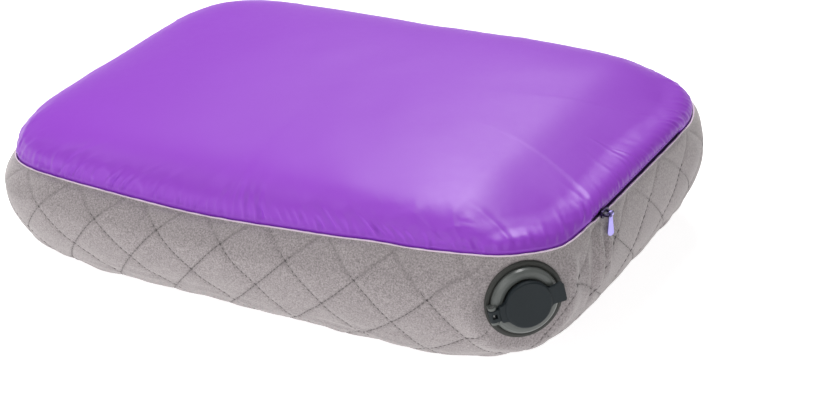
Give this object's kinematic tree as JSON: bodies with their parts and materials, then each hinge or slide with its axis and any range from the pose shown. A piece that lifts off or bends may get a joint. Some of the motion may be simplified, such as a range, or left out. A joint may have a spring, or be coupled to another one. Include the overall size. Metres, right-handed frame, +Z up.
{
  "type": "inflatable travel cushion",
  "caption": "Crowned inflatable travel cushion with a nylon top, a quilted microfibre lower cover, a concealed side zip and a capped corner valve.",
  "frame": {"origin": "centre of the flat resting face, on the floor", "axes": "+X along the length towards the zip and valve end, +Y across to the back, +Z up through the crown"},
  "size_m": [0.3829, 0.28, 0.097],
  "materials": {
    "nylon": "satin woven nylon",
    "microfibre": "brushed knit, quilted in diamonds",
    "wadding": "white polyester fibre and its backing cloth",
    "film": "coated airtight cloth",
    "zip_cloth": "woven zip tape",
    "zip_coil": "nylon coil",
    "zip_metal": "dark lacquer",
    "puller": "lavender metallic lacquer",
    "collar": "soft matt collar",
    "valve_plastic": "dark slate, satin moulded",
    "silicone": "translucent silicone",
    "pin_steel": "drawn pin"
  },
  "bodies": {
    "cushion": {"top_panel": "nylon", "lower_cover": "microfibre", "quilt_wadding": "wadding", "quilt_backing": "wadding", "fill_pad": "wadding", "core_upper_film": "film", "core_lower_film": "film", "valve_port_binding": "microfibre", "zip_tape_upper": "zip_cloth", "zip_tape_lower": "zip_cloth", "zip_coil_upper": "zip_coil", "zip_coil_lower": "zip_coil", "zip_top_stops": "zip_metal", "zip_bottom_stop": "zip_metal", "valve_collar": "collar", "valve_body": "valve_plastic", "valve_guard": "valve_plastic", "flap_tail": "silicone", "flap_button": "valve_plastic", "cap_hinge_pin": "pin_steel"},
    "cap": {"valve_cap": "valve_plastic", "cap_seal": "silicone"},
    "flap": {"check_flap": "silicone"},
    "slider": {"zip_slider": "zip_metal"},
    "puller": {"zip_puller": "puller"}
  },
  "joints": [
    {"name": "cap_hinge", "type": "hinge", "parent": "cushion", "child": "cap", "pos_m": [0.16188, -0.13119, 0.04698], "axis": [0.1545, 0.0946, -0.9835], "range_deg": [0, 165]},
    {"name": "flap_hinge", "type": "hinge", "parent": "cushion", "child": "flap", "pos_m": [0.15722, -0.11459, 0.04951], "axis": [-0.0389, 0.035, 0.9986], "range_deg": [0, 45], "stiffness_Nm_per_rad": 0.0005},
    {"name": "slider_travel", "type": "slide", "parent": "cushion", "child": "slider", "axis": [0, 1, 0], "range_m": [-0.002, 0.102]},
    {"name": "puller_swing", "type": "hinge", "parent": "slider", "child": "puller", "pos_m": [0.1914, -0.05, 0.07392], "axis": [0, -1, 0], "range_deg": [0, 150]}
  ]
}
